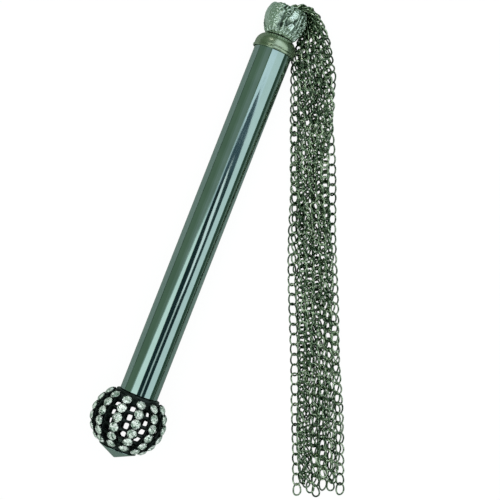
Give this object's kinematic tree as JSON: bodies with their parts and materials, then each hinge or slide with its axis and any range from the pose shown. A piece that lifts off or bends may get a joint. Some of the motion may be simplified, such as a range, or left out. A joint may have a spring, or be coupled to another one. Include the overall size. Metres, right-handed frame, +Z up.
{
  "type": "chain tassel magic wand",
  "caption": "Short magic wand: polished metal tube handle, rhinestone ball on the lower end, leaf-shaped crown cup on the upper end with fine chains hanging from its mouth.",
  "frame": {"origin": "on the table, under the middle of the rigid wand's bounding box (chains left out)", "axes": "+Z up from the table; +Y along the handle from the ball to the crown; +X to the side where the tassel lies"},
  "size_m": [0.13, 0.2408, 0.0371],
  "materials": {
    "gunmetal_polish": "mirror-polished black nickel (gunmetal) plate with a slight green cast",
    "gunmetal_cast": "polished cast metal in gunmetal plate, darker in its recesses",
    "black_cast": "blackened cast metal, satin",
    "fixing_steel": "turned steel",
    "crystal": "faceted clear crystals in dark cups",
    "chain_metal": "gunmetal-plated fine curb chain"
  },
  "bodies": {
    "handle": {"handle_tube": "gunmetal_polish", "lower_end_plug": "fixing_steel", "upper_end_plug": "fixing_steel", "ball_cage": "black_cast", "stone_row_01": "crystal", "stone_row_02": "crystal", "stone_row_03": "crystal", "stone_row_04": "crystal", "stone_row_05": "crystal", "stone_row_06": "crystal", "stone_row_07": "crystal", "stone_row_08": "crystal", "stone_row_09": "crystal", "stone_row_10": "crystal", "stone_row_11": "crystal", "stone_row_12": "crystal", "cone_cap": "gunmetal_polish", "cone_ring_nut": "fixing_steel", "ball_screw": "fixing_steel", "dome_collar": "gunmetal_cast", "crown_cup": "gunmetal_cast", "cup_bush": "fixing_steel"},
    "tassel_neck": {"swivel_eye": "fixing_steel", "swivel_nut": "fixing_steel", "gather_ring": "fixing_steel", "chain_01_bend": "chain_metal", "chain_02_bend": "chain_metal", "chain_03_bend": "chain_metal", "chain_04_bend": "chain_metal", "chain_05_bend": "chain_metal", "chain_06_bend": "chain_metal", "chain_07_bend": "chain_metal", "chain_08_bend": "chain_metal", "chain_09_bend": "chain_metal", "chain_10_bend": "chain_metal", "chain_11_bend": "chain_metal", "chain_12_bend": "chain_metal", "chain_13_bend": "chain_metal", "chain_14_bend": "chain_metal", "chain_15_bend": "chain_metal", "chain_16_bend": "chain_metal", "chain_17_bend": "chain_metal"},
    "tassel_fall": {"chain_01_fall": "chain_metal", "chain_02_fall": "chain_metal", "chain_03_fall": "chain_metal", "chain_04_fall": "chain_metal", "chain_05_fall": "chain_metal", "chain_06_fall": "chain_metal", "chain_07_fall": "chain_metal", "chain_08_fall": "chain_metal", "chain_09_fall": "chain_metal", "chain_10_fall": "chain_metal", "chain_11_fall": "chain_metal", "chain_12_fall": "chain_metal", "chain_13_fall": "chain_metal", "chain_14_fall": "chain_metal", "chain_15_fall": "chain_metal", "chain_16_fall": "chain_metal", "chain_17_fall": "chain_metal"}
  },
  "joints": [
    {"name": "tassel_swivel", "type": "hinge", "parent": "handle", "child": "tassel_neck", "pos_m": [0, 0.11565, 0.01062], "axis": [0, 0.9993, -0.0372], "continuous": true},
    {"name": "tassel_fold", "type": "hinge", "parent": "tassel_neck", "child": "tassel_fall", "pos_m": [0.02426, 0.08616, 0.00405], "axis": [-0.9312, -0.3644, 0], "range_deg": [-90, 90]}
  ]
}
